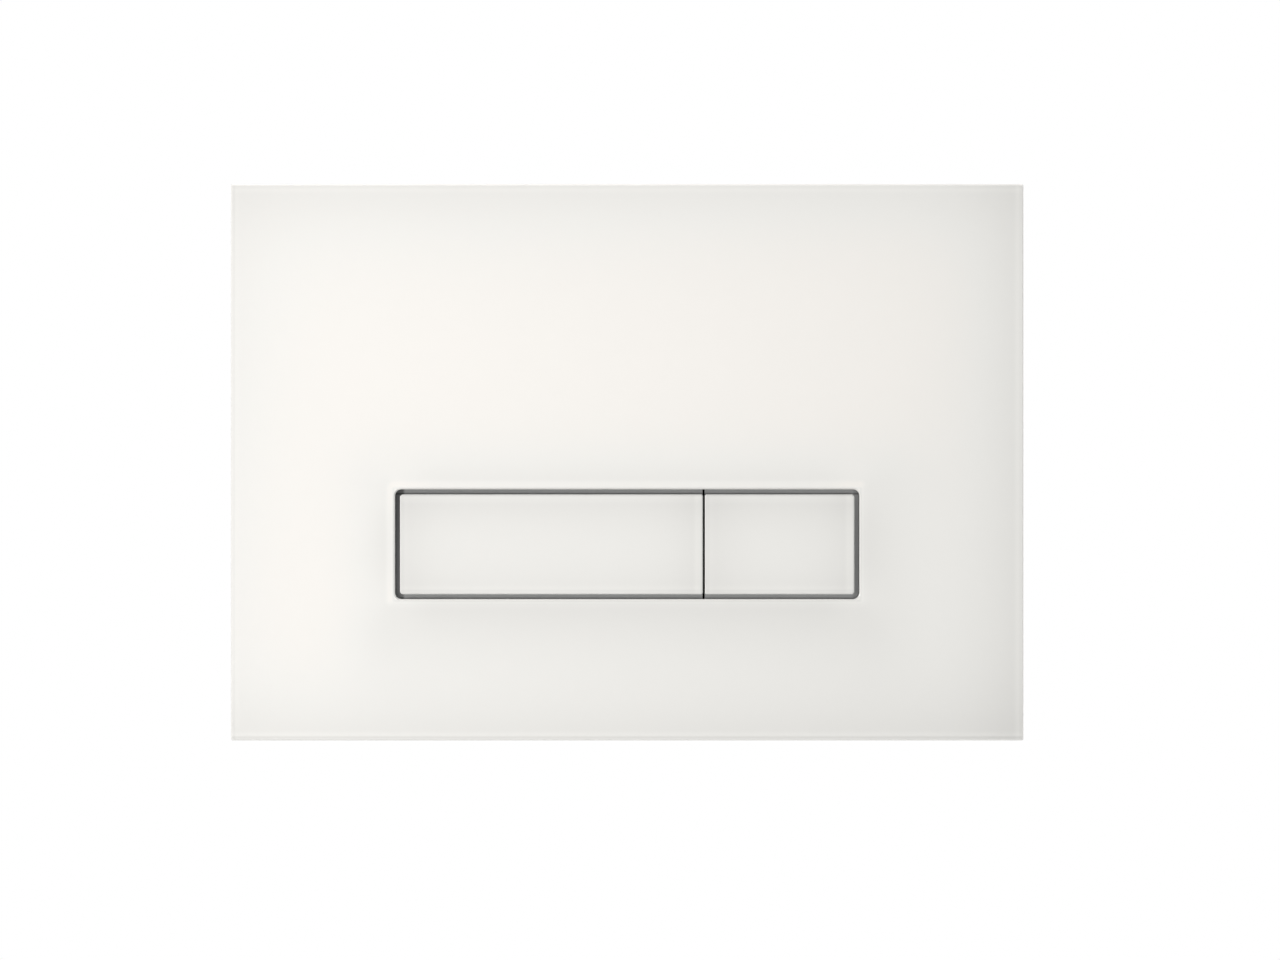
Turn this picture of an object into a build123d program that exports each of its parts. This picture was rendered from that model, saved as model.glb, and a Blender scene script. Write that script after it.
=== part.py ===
from build123d import *
from dataclasses import dataclass
import math
import os

os.makedirs("parts", exist_ok=True)

# Frame: X to the right, Z up, Y into the wall. The wall is the plane Y = 0, behind the middle of the plate.
# Depths are distances in front of the wall: a plane at depth d is Plane.XZ.offset(d) and extrudes forwards.

# Cover plate of glass
plate_width = 235.0
plate_height = 165.0
glass_thickness = 4.0
plate_corner = 0.6
glass_arris = 0.4

# Window in the plate, low in its face
window_width = 137.7
window_height = 32.6
window_corner = 2.0
window_drop = 24.3

# Glass inlays of the two buttons
rim_show = 1.5
divide = 0.6
full_inlay_width = 89.8
inlay_corner = 0.9
divide_corner = 0.5
inlay_arris = 0.3

# Tapes
plate_tape_thickness = 0.8
plate_tape_width = 12.0
plate_tape_inset = 7.0
inlay_tape_thickness = 0.5
inlay_tape_inset = 1.2

# Back frame, a tray behind the plate
tray_inset = 4.0
tray_corner = 3.0
tray_skirt = 2.0
tray_wall = 1.8
tray_depth = 7.7
tray_off_wall = 0.5
rib_width = 1.4
rib_height = 2.5
seat_width = 2.0
seat_length = 16.0

# Mounting frame on the wall, a flange with a basket
flange_gap = 6.5
flange_thickness = 2.5
flange_corner = 6.0
flange_overlap_side = 10.0
flange_overlap_top = 12.0
basket_wall = 2.0
basket_corner = 5.0
floor_thickness = 2.0
access_edge = 8.0
access_corner = 6.0
lip_width = 1.6
lip_height = 3.0
back_rib_height = 3.0
back_rib_edge = 3.0

# Snap arms of the tray and their slots in the basket
snap_width = 12.0
snap_thickness = 1.8
snap_gap = 0.4
snap_barb = 1.6
snap_catch_depth = 2.0
snap_barb_length = 4.5
snap_slot_room = 0.5
snap_gusset = 4.0

# Button carriers
carrier_overlap = 0.6
carrier_room = 0.7
carrier_plate = 2.0
carrier_skirt = 4.0
carrier_skirt_wall = 1.4
carrier_skirt_inset = 0.6
carrier_rib = 1.2
full_rib_count = 4
half_rib_count = 2

# Hinge along the top of the window, with a tail behind the divide
axle_radius = 1.25
axle_clearance = 0.05
hinge_rise = 7.0
knuckle_radius = 2.1
knuckle_gap = 0.4
arm_width = 6.0
arm_inset = 8.0
arm_foot = 5.0
lug_thickness = 3.0
lug_radius = 2.4
lug_corner = 1.4
lug_gap = 0.3
axle_end = 0.6
tongue_gap = 0.3
tongue_thickness = 1.4
tail_gap = 0.6
tail_lap = 1.0
press_angle = 8.0

# Stops that the buttons come back against
stop_length = 3.3
stop_width = 10.0
stop_inset = 9.7
stop_thickness = 1.5
stop_gap = 0.2
buffer_thickness = 1.0
buffer_length = 8.0
buffer_height = 2.2

# Push rods, worked by a rounded pad on each carrier
rod_drop = 31.0
rod_radius = 3.0
rod_length = 70.0
rod_tip_radius = 2.5
rod_tip_length = 12.0
pusher_length = 12.0
pusher_height = 8.0
pusher_reach = 1.0
pad_radius = 5.0
pad_thickness = 1.6
cap_gap = 0.3
cap_radius = 6.0
cap_side_count = 12
cap_length = 4.0
cap_face = 1.5
cap_grip = 0.03
stroke_room = 0.9

# Guide bushes of the rods
bush_flange = 1.5
bush_flange_side = 13.0
bush_radius = 5.0
bush_length = 14.5
bush_seat_gap = 0.03
rod_clearance = 0.06

# Return springs, bent strips held in pockets on the floor of the basket
spring_thickness = 0.4
full_spring_width = 8.0
half_spring_width = 6.0
full_spring_reach = 27.0
half_spring_reach = 13.5
spring_foot_end = 21.7
spring_bend = 13.0
spring_tip = 0.2
spring_tip_curl = 2.6
spring_radius = 2.5
spring_gap = 0.3
spring_land_height = 5.0
spring_land_spare = 2.0
keeper_wall = 1.2
keeper_gap = 0.15
keeper_length = 6.0

# Fixing studs and their nuts
stud_edge = 12.0
stud_front_radius = 3.0
stud_rear_radius = 4.0
stud_rear_length = 57.0
stud_collar_radius = 6.5
stud_collar = 4.0
stud_nose = 8.5
slot_width = 7.0
slot_length = 15.0
nut_radius = 8.0
nut_length = 6.8
nut_side_count = 12
nut_grip = 0.04
nut_to_rib = 4.0

# Depths that follow
tray_front = tray_off_wall + tray_depth
tray_inner = tray_front - tray_wall
glass_back = tray_front + plate_tape_thickness
glass_front = glass_back + glass_thickness
carrier_front = glass_front - glass_thickness - inlay_tape_thickness
carrier_back = carrier_front - carrier_plate
skirt_back = carrier_back - carrier_skirt
hinge_depth = tray_inner - knuckle_gap - knuckle_radius
press = math.radians(press_angle)
rod_stroke = rod_drop * press
pad_front = -pusher_reach + pad_thickness
cap_front = -pusher_reach - cap_gap
cap_back = cap_front - cap_length
rod_front = cap_front - cap_face
floor_front = cap_back - rod_stroke - stroke_room - bush_flange
floor_back = floor_front - floor_thickness
bush_back = floor_front - bush_length
rod_step = rod_front - rod_length
rod_end = rod_step - rod_tip_length

# Outlines that follow
tray_width = plate_width - 2 * tray_inset
tray_height = plate_height - 2 * tray_inset
flange_width = tray_width - 2 * (tray_skirt + flange_gap)
flange_height = tray_height - 2 * (tray_skirt + flange_gap)
basket_width = flange_width - 2 * flange_overlap_side
basket_height = flange_height - 2 * flange_overlap_top
basket_inner_width = basket_width - 2 * basket_wall
basket_inner_height = basket_height - 2 * basket_wall
stud_side = basket_inner_width / 2 - stud_edge
carrier_corner = window_corner + carrier_overlap
carrier_height = window_height + 2 * carrier_overlap
tray_window_width = window_width + 2 * (carrier_overlap + carrier_room)
tray_window_height = window_height + 2 * (carrier_overlap + carrier_room)

# Places across the window that follow
window_top = window_height / 2 - window_drop
window_bottom = window_top - window_height
inlay_height = window_height - 2 * rim_show
full_inlay_left = rim_show - window_width / 2
full_inlay_right = full_inlay_left + full_inlay_width
half_inlay_left = full_inlay_right + divide
half_inlay_right = window_width / 2 - rim_show
carrier_top = window_top + carrier_overlap
carrier_bottom = window_bottom - carrier_overlap
full_carrier_left = -window_width / 2 - carrier_overlap
half_carrier_right = window_width / 2 + carrier_overlap
hinge_height = window_top + hinge_rise
rod_height = hinge_height - rod_drop
spring_tip_height = rod_height + pusher_height
spring_land_depth = carrier_back - skirt_back
stop_low = carrier_bottom - stop_length
buffer_middle = stop_low + buffer_height / 2 + stop_gap
stop_front = tray_inner - buffer_thickness - stop_gap
access_bottom = spring_tip_height + pusher_height
access_top = basket_inner_height / 2 - access_edge
access_width = 2 * (stud_side - nut_radius - access_edge)
access_height = access_top - access_bottom
access_middle = (access_top + access_bottom) / 2
tail_width = divide + carrier_skirt_inset
tail_low = access_bottom - tail_lap
tail_high = hinge_height - (lug_radius + axle_radius + axle_clearance) / 2
tail_swing = (hinge_height - tail_low) * math.sin(press)
tail_back = hinge_depth - lug_radius
tail_front = hinge_depth + (carrier_back - hinge_depth) * math.cos(press) - tail_swing - tail_gap
seat_side = flange_width / 2 - flange_overlap_side / 2
seat_top = flange_height / 2 - flange_overlap_top / 2
spring_low = rod_height + pusher_height - spring_foot_end
spring_foot_top = spring_tip_height - spring_bend


# The two buttons and what is set across each
@dataclass
class Button:
    name: str
    inlay_left: float
    inlay_right: float
    left: float
    right: float
    inlay_corners: tuple
    carrier_corners: tuple
    rib_count: int
    spring_reach: float
    spring_width: float

    def __post_init__(self):
        self.inlay_width = self.inlay_right - self.inlay_left
        self.inlay_middle = (self.inlay_left + self.inlay_right) / 2
        self.width = self.right - self.left
        self.middle = (self.left + self.right) / 2
        arm_reach = self.width / 2 - arm_inset
        lug_reach = arm_reach + arm_width / 2 + lug_gap + lug_thickness / 2
        stop_reach = self.width / 2 - stop_inset
        self.arms = (self.middle - arm_reach, self.middle + arm_reach)
        self.lugs = (self.middle - lug_reach, self.middle + lug_reach)
        self.stops = (self.middle - stop_reach, self.middle + stop_reach)
        self.springs = (self.middle - self.spring_reach, self.middle + self.spring_reach)


full = Button(
    name="full",
    inlay_left=full_inlay_left,
    inlay_right=full_inlay_right,
    left=full_carrier_left,
    right=full_inlay_right,
    inlay_corners=(inlay_corner, divide_corner),
    carrier_corners=(carrier_corner, divide_corner),
    rib_count=full_rib_count,
    spring_reach=full_spring_reach,
    spring_width=full_spring_width,
)
half = Button(
    name="half",
    inlay_left=half_inlay_left,
    inlay_right=half_inlay_right,
    left=half_inlay_left,
    right=half_carrier_right,
    inlay_corners=(divide_corner, inlay_corner),
    carrier_corners=(divide_corner, carrier_corner),
    rib_count=half_rib_count,
    spring_reach=half_spring_reach,
    spring_width=half_spring_width,
)
buttons = (full, half)
lug_spans = (
    (full.lugs[0] - lug_thickness / 2, full.lugs[0] + lug_thickness / 2),
    (full.lugs[1] - lug_thickness / 2, half.lugs[0] + lug_thickness / 2),
    (half.lugs[1] - lug_thickness / 2, half.lugs[1] + lug_thickness / 2),
)
axle_left = lug_spans[0][0] - axle_end
axle_right = lug_spans[-1][1] + axle_end
snap_spread = half.middle

# Cover plate: glass with the window cut out and all front edges broken
with BuildPart() as glass_plate:
    with BuildSketch(Plane.XZ.offset(glass_back)):
        RectangleRounded(plate_width, plate_height, plate_corner)
        with Locations((0, -window_drop)):
            RectangleRounded(window_width, window_height, window_corner, mode=Mode.SUBTRACT)
    extrude(amount=glass_thickness)
    chamfer(glass_plate.faces().sort_by(Axis.Y)[0].edges(), glass_arris)
glass_plate.part.label = "glass_plate"
export_step(glass_plate.part, "parts/glass_plate.step")

# Tape strips between plate and tray
with BuildPart() as plate_tape:
    strip_side = tray_width / 2 - plate_tape_inset - plate_tape_width / 2
    strip_top = tray_height / 2 - plate_tape_inset - plate_tape_width / 2
    strip_length = 2 * strip_top - plate_tape_width - plate_tape_inset
    with BuildSketch(Plane.XZ.offset(tray_front)):
        with Locations((0, strip_top), (0, -strip_top)):
            Rectangle(2 * strip_side + plate_tape_width, plate_tape_width)
        with Locations((-strip_side, 0), (strip_side, 0)):
            Rectangle(plate_tape_width, strip_length)
        with Locations((0, window_top + plate_tape_inset + plate_tape_width / 2)):
            Rectangle(window_width, plate_tape_width)
    extrude(amount=plate_tape_thickness)
plate_tape.part.label = "plate_tape"
export_step(plate_tape.part, "parts/plate_tape.step")

# Back frame: moulded tray with window, ribs, seats, hinge lugs and snap arms
with BuildPart() as back_frame:
    with BuildSketch(Plane.XZ.offset(tray_off_wall)):
        RectangleRounded(tray_width, tray_height, tray_corner)
    extrude(amount=tray_depth)
    with BuildSketch(Plane.XZ.offset(tray_off_wall)):
        RectangleRounded(tray_width - 2 * tray_skirt, tray_height - 2 * tray_skirt, tray_corner - tray_skirt)
    extrude(amount=tray_depth - tray_wall, mode=Mode.SUBTRACT)
    with BuildSketch(Plane.XZ.offset(tray_inner)):
        with Locations((0, -window_drop)):
            RectangleRounded(tray_window_width, tray_window_height, carrier_corner + carrier_room)
    extrude(amount=tray_wall, mode=Mode.SUBTRACT)
    # seats that rest on the flange
    with BuildSketch(Plane.XZ.offset(flange_thickness)):
        with GridLocations(window_width / 2, 2 * seat_top, 2, 2):
            Rectangle(seat_length, seat_width)
        with GridLocations(2 * seat_side, plate_height / 3, 2, 2):
            Rectangle(seat_width, seat_length)
    extrude(amount=tray_inner - flange_thickness)
    # stiffening ribs above the hinge and beside the window
    with BuildSketch(Plane.XZ.offset(tray_inner - rib_height)):
        rib_low = hinge_height + 2 * lug_radius + knuckle_radius
        rib_high = basket_inner_height / 2 - snap_gap - snap_thickness - snap_gusset
        with Locations((0, (rib_low + rib_high) / 2)):
            with GridLocations(window_width / 4, 1, 5, 1):
                Rectangle(rib_width, rib_high - rib_low)
            Rectangle(window_width + 2 * rib_width, rib_width)
        with GridLocations(window_width + 6 * rib_width, 1, 2, 1):
            Rectangle(rib_width, 2 * rib_high)
    extrude(amount=rib_height)
    # hinge lugs, the middle one between the two buttons
    for lug_left, lug_right in lug_spans:
        with BuildSketch(Plane.YZ.offset(lug_left)) as outline:
            with Locations(((lug_radius - tray_inner - hinge_depth) / 2, hinge_height)):
                Rectangle(tray_inner - hinge_depth + lug_radius, 2 * lug_radius)
            chamfer(outline.vertices().group_by(Axis.X)[-1], lug_corner)
            with Locations((-hinge_depth, hinge_height)):
                Circle(axle_radius + axle_clearance, mode=Mode.SUBTRACT)
        extrude(amount=lug_right - lug_left)
    # tail of the middle lug, which closes the view through the divide
    with BuildSketch(Plane.XZ.offset(tail_back)):
        with Locations((full.right + divide / 2, (tail_high + tail_low) / 2)):
            Rectangle(tail_width, tail_high - tail_low)
    extrude(amount=tail_front - tail_back)
    # tongues that keep the axle from sliding out sideways
    with BuildSketch(Plane.XZ.offset(hinge_depth - lug_radius)):
        tongue_reach = tongue_gap + tongue_thickness / 2
        for place in (axle_left - tongue_reach, axle_right + tongue_reach):
            with Locations((place, hinge_height)):
                Rectangle(tongue_thickness, 2 * lug_radius)
    extrude(amount=tray_inner - hinge_depth + lug_radius)
    # snap arms at the top and the bottom, each with a gusset at its root
    for side in (1, -1):
        arm_outer = basket_inner_height / 2 - snap_gap
        arm_inner = arm_outer - snap_thickness
        barb_top = arm_outer + snap_barb
        barb_end = snap_catch_depth + snap_barb_length
        for place in (-snap_spread, snap_spread):
            with BuildSketch(Plane.YZ.offset(place - snap_width / 2)):
                with BuildLine():
                    Polyline(
                        (-tray_inner, side * arm_inner),
                        (-tray_inner, side * arm_outer),
                        (snap_catch_depth, side * arm_outer),
                        (snap_catch_depth, side * barb_top),
                        (snap_catch_depth + snap_barb / 2, side * barb_top),
                        (barb_end, side * (arm_outer - snap_thickness / 2)),
                        (barb_end, side * arm_inner),
                        close=True,
                    )
                make_face()
            extrude(amount=snap_width)
            with BuildSketch(Plane.YZ.offset(place - rib_width / 2)):
                with BuildLine():
                    Polyline(
                        (-tray_inner, side * arm_inner),
                        (-tray_inner + snap_gusset, side * arm_inner),
                        (-tray_inner, side * (arm_inner - snap_gusset)),
                        close=True,
                    )
                make_face()
            extrude(amount=rib_width)
back_frame.part.label = "back_frame"
export_step(back_frame.part, "parts/back_frame.step")

# Mounting frame: flange on the wall, basket in the wall opening
with BuildPart() as mounting_frame:
    with BuildSketch(Plane.XZ):
        RectangleRounded(flange_width, flange_height, flange_corner)
    extrude(amount=flange_thickness)
    with BuildSketch(Plane.XZ.offset(floor_back)):
        RectangleRounded(basket_width, basket_height, basket_corner)
    extrude(amount=-floor_back)
    with BuildSketch(Plane.XZ.offset(floor_front)):
        RectangleRounded(basket_inner_width, basket_inner_height, basket_corner - basket_wall)
    extrude(amount=flange_thickness - floor_front, mode=Mode.SUBTRACT)
    # lip round the access opening and ribs above and below the studs
    with BuildSketch(Plane.XZ.offset(floor_front)):
        with Locations((0, access_middle)):
            RectangleRounded(
                access_width + 2 * lip_width,
                access_height + 2 * lip_width,
                access_corner + lip_width,
            )
        with GridLocations((access_width + basket_inner_width) / 2, 2 * (nut_radius + nut_to_rib), 2, 2):
            Rectangle((basket_inner_width - access_width) / 2, rib_width)
    extrude(amount=lip_height)
    with BuildSketch(Plane.XZ.offset(floor_back)):
        with Locations((0, access_middle)):
            RectangleRounded(access_width, access_height, access_corner)
    extrude(amount=floor_thickness + lip_height, mode=Mode.SUBTRACT)
    # slots for the studs and seats for the bushes
    with BuildSketch(Plane.XZ.offset(floor_back)):
        with Locations((-stud_side, 0), (stud_side, 0)):
            SlotOverall(slot_length, slot_width, rotation=90)
        with Locations((full.middle, rod_height), (half.middle, rod_height)):
            Circle(bush_radius + bush_seat_gap)
    extrude(amount=floor_thickness, mode=Mode.SUBTRACT)
    # pockets for the feet of the springs, closed at their lower end
    for button in buttons:
        pocket_width = button.spring_width + 2 * keeper_gap
        pocket_height = spring_thickness + keeper_gap
        with BuildSketch(Plane.XZ.offset(floor_front)):
            for place in button.springs:
                with Locations((place, spring_low + (keeper_length - keeper_wall) / 2)):
                    Rectangle(pocket_width + 2 * keeper_wall, keeper_length + keeper_wall)
        extrude(amount=pocket_height + keeper_wall)
        with BuildSketch(Plane.XZ.offset(floor_front)):
            for place in button.springs:
                with Locations((place, spring_low + (keeper_length - keeper_gap) / 2)):
                    Rectangle(pocket_width, keeper_length + keeper_gap)
        extrude(amount=pocket_height, mode=Mode.SUBTRACT)
    # ribs on the back of the floor, round the access opening and beside the bushes
    with BuildSketch(Plane.XZ.offset(floor_back - back_rib_height)):
        surround = access_width / 2 + back_rib_edge
        surround_low = access_bottom - back_rib_edge
        with Locations((0, surround_low), (0, access_top + back_rib_edge)):
            Rectangle(2 * surround + rib_width, rib_width)
        with Locations((-surround, 0), (surround, 0)):
            Rectangle(rib_width, basket_inner_height)
        for button in buttons:
            for place in (button.middle - bush_flange_side, button.middle + bush_flange_side):
                with Locations((place, (surround_low - basket_inner_height / 2) / 2)):
                    Rectangle(rib_width, surround_low + basket_inner_height / 2)
    extrude(amount=back_rib_height)
    # slots for the snap arms
    with BuildSketch(Plane.XY.offset(-basket_height / 2)):
        with GridLocations(2 * snap_spread, 1, 2, 1):
            with Locations((0, snap_catch_depth + snap_barb_length / 2)):
                Rectangle(snap_width + 2 * snap_slot_room, snap_barb_length + 2 * snap_slot_room)
    extrude(amount=basket_height, mode=Mode.SUBTRACT)
mounting_frame.part.label = "mounting_frame"
export_step(mounting_frame.part, "parts/mounting_frame.step")

# Axle of both buttons
with BuildPart() as hinge_axle:
    with BuildSketch(Plane.YZ.offset(axle_left)):
        with Locations((-hinge_depth, hinge_height)):
            Circle(axle_radius)
    extrude(amount=axle_right - axle_left)
hinge_axle.part.label = "hinge_axle"
export_step(hinge_axle.part, "parts/hinge_axle.step")

# Rubber pads on the tray, under the stops of the carriers
with BuildPart() as stop_buffers:
    with BuildSketch(Plane.XZ.offset(tray_inner - buffer_thickness)):
        for place in full.stops + half.stops:
            with Locations((place, buffer_middle)):
                Rectangle(buffer_length, buffer_height)
    extrude(amount=buffer_thickness)
stop_buffers.part.label = "stop_buffers"
export_step(stop_buffers.part, "parts/stop_buffers.step")

for side, place in (("left", -stud_side), ("right", stud_side)):
    # Fixing stud: nose for the nut, six-sided collar behind the floor, rear thread into the cistern box
    with BuildPart() as fixing_stud:
        with BuildSketch(Plane.XZ.offset(floor_back)):
            with Locations((place, 0)):
                Circle(stud_front_radius)
        extrude(amount=floor_thickness + stud_nose)
        with BuildSketch(Plane.XZ.offset(floor_back - stud_collar)):
            with Locations((place, 0)):
                RegularPolygon(stud_collar_radius, 6)
        extrude(amount=stud_collar)
        with BuildSketch(Plane.XZ.offset(floor_back - stud_collar - stud_rear_length)):
            with Locations((place, 0)):
                Circle(stud_rear_radius)
        extrude(amount=stud_rear_length)
    fixing_stud.part.label = f"fixing_stud_{side}"
    export_step(fixing_stud.part, f"parts/fixing_stud_{side}.step")

    # Hand nut with flats round its grip
    with BuildPart() as stud_nut:
        with BuildSketch(Plane.XZ.offset(floor_front)):
            with Locations((place, 0)):
                RegularPolygon(nut_radius, nut_side_count)
                Circle(stud_front_radius + nut_grip, mode=Mode.SUBTRACT)
        extrude(amount=nut_length)
    stud_nut.part.label = f"stud_nut_{side}"
    export_step(stud_nut.part, f"parts/stud_nut_{side}.step")

# Side view of a return spring: foot on the floor, arm up to the carrier, curled tip
spring_front = skirt_back - spring_gap
spring_path = [
    (-floor_front, spring_low),
    (-floor_front, spring_foot_top),
    (-spring_front + spring_thickness, spring_tip_height - spring_tip),
    (-spring_front + spring_thickness + spring_tip_curl / 2, spring_tip_height + spring_tip_curl),
]
pad_half_height = math.sqrt(pad_radius**2 - (pad_radius - pad_thickness) ** 2)

for button in buttons:
    # Glass inlay
    with BuildPart() as button_glass:
        with BuildSketch(Plane.XZ.offset(glass_back)) as outline:
            with Locations((button.inlay_middle, -window_drop)):
                Rectangle(button.inlay_width, inlay_height)
            fillet(outline.vertices().group_by(Axis.X)[0], button.inlay_corners[0])
            fillet(outline.vertices().group_by(Axis.X)[-1], button.inlay_corners[1])
        extrude(amount=glass_thickness)
        chamfer(button_glass.faces().sort_by(Axis.Y)[0].edges(), inlay_arris)
    button_glass.part.label = f"{button.name}_button_glass"
    export_step(button_glass.part, f"parts/{button.name}_button_glass.step")

    # Tape under the inlay
    with BuildPart() as button_tape:
        with BuildSketch(Plane.XZ.offset(carrier_front)):
            with Locations((button.inlay_middle, -window_drop)):
                Rectangle(button.inlay_width - 2 * inlay_tape_inset, inlay_height - 2 * inlay_tape_inset)
        extrude(amount=inlay_tape_thickness)
    button_tape.part.label = f"{button.name}_button_tape"
    export_step(button_tape.part, f"parts/{button.name}_button_tape.step")

    # Carrier: face whose rim shows round the inlay, with its working parts behind
    with BuildPart() as button_carrier:
        with BuildSketch(Plane.XZ.offset(carrier_back)) as outline:
            with Locations((button.middle, -window_drop)):
                Rectangle(button.width, carrier_height)
            fillet(outline.vertices().group_by(Axis.X)[0], button.carrier_corners[0])
            fillet(outline.vertices().group_by(Axis.X)[-1], button.carrier_corners[1])
        extrude(amount=carrier_plate)
        # skirt behind the edge, with ribs across
        with BuildSketch(Plane.XZ.offset(skirt_back)):
            skirt_width = button.width - 2 * carrier_skirt_inset
            skirt_height = carrier_height - 2 * carrier_skirt_inset
            with Locations((button.middle, -window_drop)):
                Rectangle(skirt_width, skirt_height)
                Rectangle(
                    skirt_width - 2 * carrier_skirt_wall,
                    skirt_height - 2 * carrier_skirt_wall,
                    mode=Mode.SUBTRACT,
                )
                with GridLocations(skirt_width / (button.rib_count + 1), 1, button.rib_count, 1):
                    Rectangle(carrier_rib, skirt_height)
        extrude(amount=carrier_skirt)
        # hinge arms
        for place in button.arms:
            with BuildSketch(Plane.YZ.offset(place - arm_width / 2)):
                foot_middle = carrier_top - carrier_skirt_inset - arm_foot / 2
                with Locations((-hinge_depth, (hinge_height + carrier_top - arm_foot) / 2)):
                    Rectangle(2 * knuckle_radius, hinge_height - carrier_top + arm_foot)
                with Locations((-(carrier_back + hinge_depth) / 2, foot_middle)):
                    Rectangle(carrier_back - hinge_depth, arm_foot)
                with Locations((-hinge_depth, hinge_height)):
                    Circle(knuckle_radius)
                    Circle(axle_radius + axle_clearance, mode=Mode.SUBTRACT)
            extrude(amount=arm_width)
        # stops behind the tray wall
        with BuildSketch(Plane.XZ.offset(stop_front - stop_thickness)):
            stop_root = carrier_bottom + carrier_skirt_inset + carrier_skirt_wall
            for place in button.stops:
                with Locations((place, (stop_root + stop_low) / 2)):
                    Rectangle(stop_width, stop_root - stop_low)
        extrude(amount=stop_thickness)
        # lands for the springs
        with BuildSketch(Plane.XZ.offset(skirt_back)):
            for place in button.springs:
                with Locations((place, spring_tip_height)):
                    Rectangle(button.spring_width + spring_land_spare, spring_land_height)
        extrude(amount=carrier_skirt)
        # rib that carries the pusher pad
        with BuildSketch(Plane.XZ.offset(pad_front)):
            with Locations((button.middle, rod_height)):
                Rectangle(pusher_length, pusher_height)
        extrude(amount=carrier_back - pad_front)
    button_carrier.part.label = f"{button.name}_button_carrier"
    export_step(button_carrier.part, f"parts/{button.name}_button_carrier.step")

    # Rubber pad on the pusher rib, rounded towards the rod
    with BuildPart() as pusher_pad:
        with BuildSketch(Plane.YZ.offset(button.middle - pusher_length / 2)):
            with BuildLine():
                pad_low = (-pad_front, rod_height - pad_half_height)
                pad_high = (-pad_front, rod_height + pad_half_height)
                ThreePointArc(pad_low, (pusher_reach, rod_height), pad_high)
                Line(pad_high, pad_low)
            make_face()
        extrude(amount=pusher_length)
    pusher_pad.part.label = f"{button.name}_pusher_pad"
    export_step(pusher_pad.part, f"parts/{button.name}_pusher_pad.step")

    # Return springs of the button
    with BuildPart() as return_springs:
        for place in button.springs:
            with BuildSketch(Plane.YZ.offset(place - button.spring_width / 2)):
                with BuildLine():
                    FilletPolyline(*spring_path, radius=spring_radius)
                    offset(amount=spring_thickness, side=Side.LEFT)
                make_face()
            extrude(amount=button.spring_width)
    return_springs.part.label = f"{button.name}_return_springs"
    export_step(return_springs.part, f"parts/{button.name}_return_springs.step")

    # Guide bush of the rod, with a square flange in front of the floor
    with BuildPart() as guide_bush:
        with BuildSketch(Plane.XZ.offset(floor_front)):
            with Locations((button.middle, rod_height)):
                Rectangle(bush_flange_side, bush_flange_side)
        extrude(amount=bush_flange)
        with BuildSketch(Plane.XZ.offset(bush_back)):
            with Locations((button.middle, rod_height)):
                Circle(bush_radius)
        extrude(amount=bush_length)
        with BuildSketch(Plane.XZ.offset(bush_back)):
            with Locations((button.middle, rod_height)):
                Circle(rod_radius + rod_clearance)
        extrude(amount=bush_length + bush_flange, mode=Mode.SUBTRACT)
    guide_bush.part.label = f"{button.name}_guide_bush"
    export_step(guide_bush.part, f"parts/{button.name}_guide_bush.step")

    # Push rod with a thinner tip for the valve lever
    with BuildPart() as push_rod:
        with BuildSketch(Plane.XZ.offset(rod_step)):
            with Locations((button.middle, rod_height)):
                Circle(rod_radius)
        extrude(amount=rod_length)
        with BuildSketch(Plane.XZ.offset(rod_end)):
            with Locations((button.middle, rod_height)):
                Circle(rod_tip_radius)
        extrude(amount=rod_tip_length)
    push_rod.part.label = f"{button.name}_push_rod"
    export_step(push_rod.part, f"parts/{button.name}_push_rod.step")

    # Cap on the front of the rod, with flats to turn it by
    with BuildPart() as rod_cap:
        with BuildSketch(Plane.XZ.offset(cap_back)):
            with Locations((button.middle, rod_height)):
                RegularPolygon(cap_radius, cap_side_count)
        extrude(amount=cap_length)
        with BuildSketch(Plane.XZ.offset(cap_back)):
            with Locations((button.middle, rod_height)):
                Circle(rod_radius + cap_grip)
        extrude(amount=cap_length - cap_face, mode=Mode.SUBTRACT)
    rod_cap.part.label = f"{button.name}_rod_cap"
    export_step(rod_cap.part, f"parts/{button.name}_rod_cap.step")
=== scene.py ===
import math

import bmesh
import bpy
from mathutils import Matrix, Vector


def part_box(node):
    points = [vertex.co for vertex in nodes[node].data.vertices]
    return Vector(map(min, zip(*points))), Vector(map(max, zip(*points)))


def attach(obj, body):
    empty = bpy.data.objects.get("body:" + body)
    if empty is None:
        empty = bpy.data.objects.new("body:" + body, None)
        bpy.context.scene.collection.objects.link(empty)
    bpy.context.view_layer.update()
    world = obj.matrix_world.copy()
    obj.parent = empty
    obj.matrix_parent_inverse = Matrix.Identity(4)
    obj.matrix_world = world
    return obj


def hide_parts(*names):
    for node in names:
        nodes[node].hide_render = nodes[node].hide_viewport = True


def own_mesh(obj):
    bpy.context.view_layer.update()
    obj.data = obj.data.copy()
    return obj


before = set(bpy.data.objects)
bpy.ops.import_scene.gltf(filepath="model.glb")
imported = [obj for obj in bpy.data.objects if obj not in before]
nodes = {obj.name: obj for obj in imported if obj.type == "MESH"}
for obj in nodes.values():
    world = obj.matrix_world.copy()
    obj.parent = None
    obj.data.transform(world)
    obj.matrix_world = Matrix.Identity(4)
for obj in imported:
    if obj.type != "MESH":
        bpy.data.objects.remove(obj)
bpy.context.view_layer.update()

# Mounting frame: one moulding in light grey plastic, a flange that lies on the tiles and a basket that goes
# into the wall opening. Its surface is spark-eroded in the mould, so it is matt with a fine grain.


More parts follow.
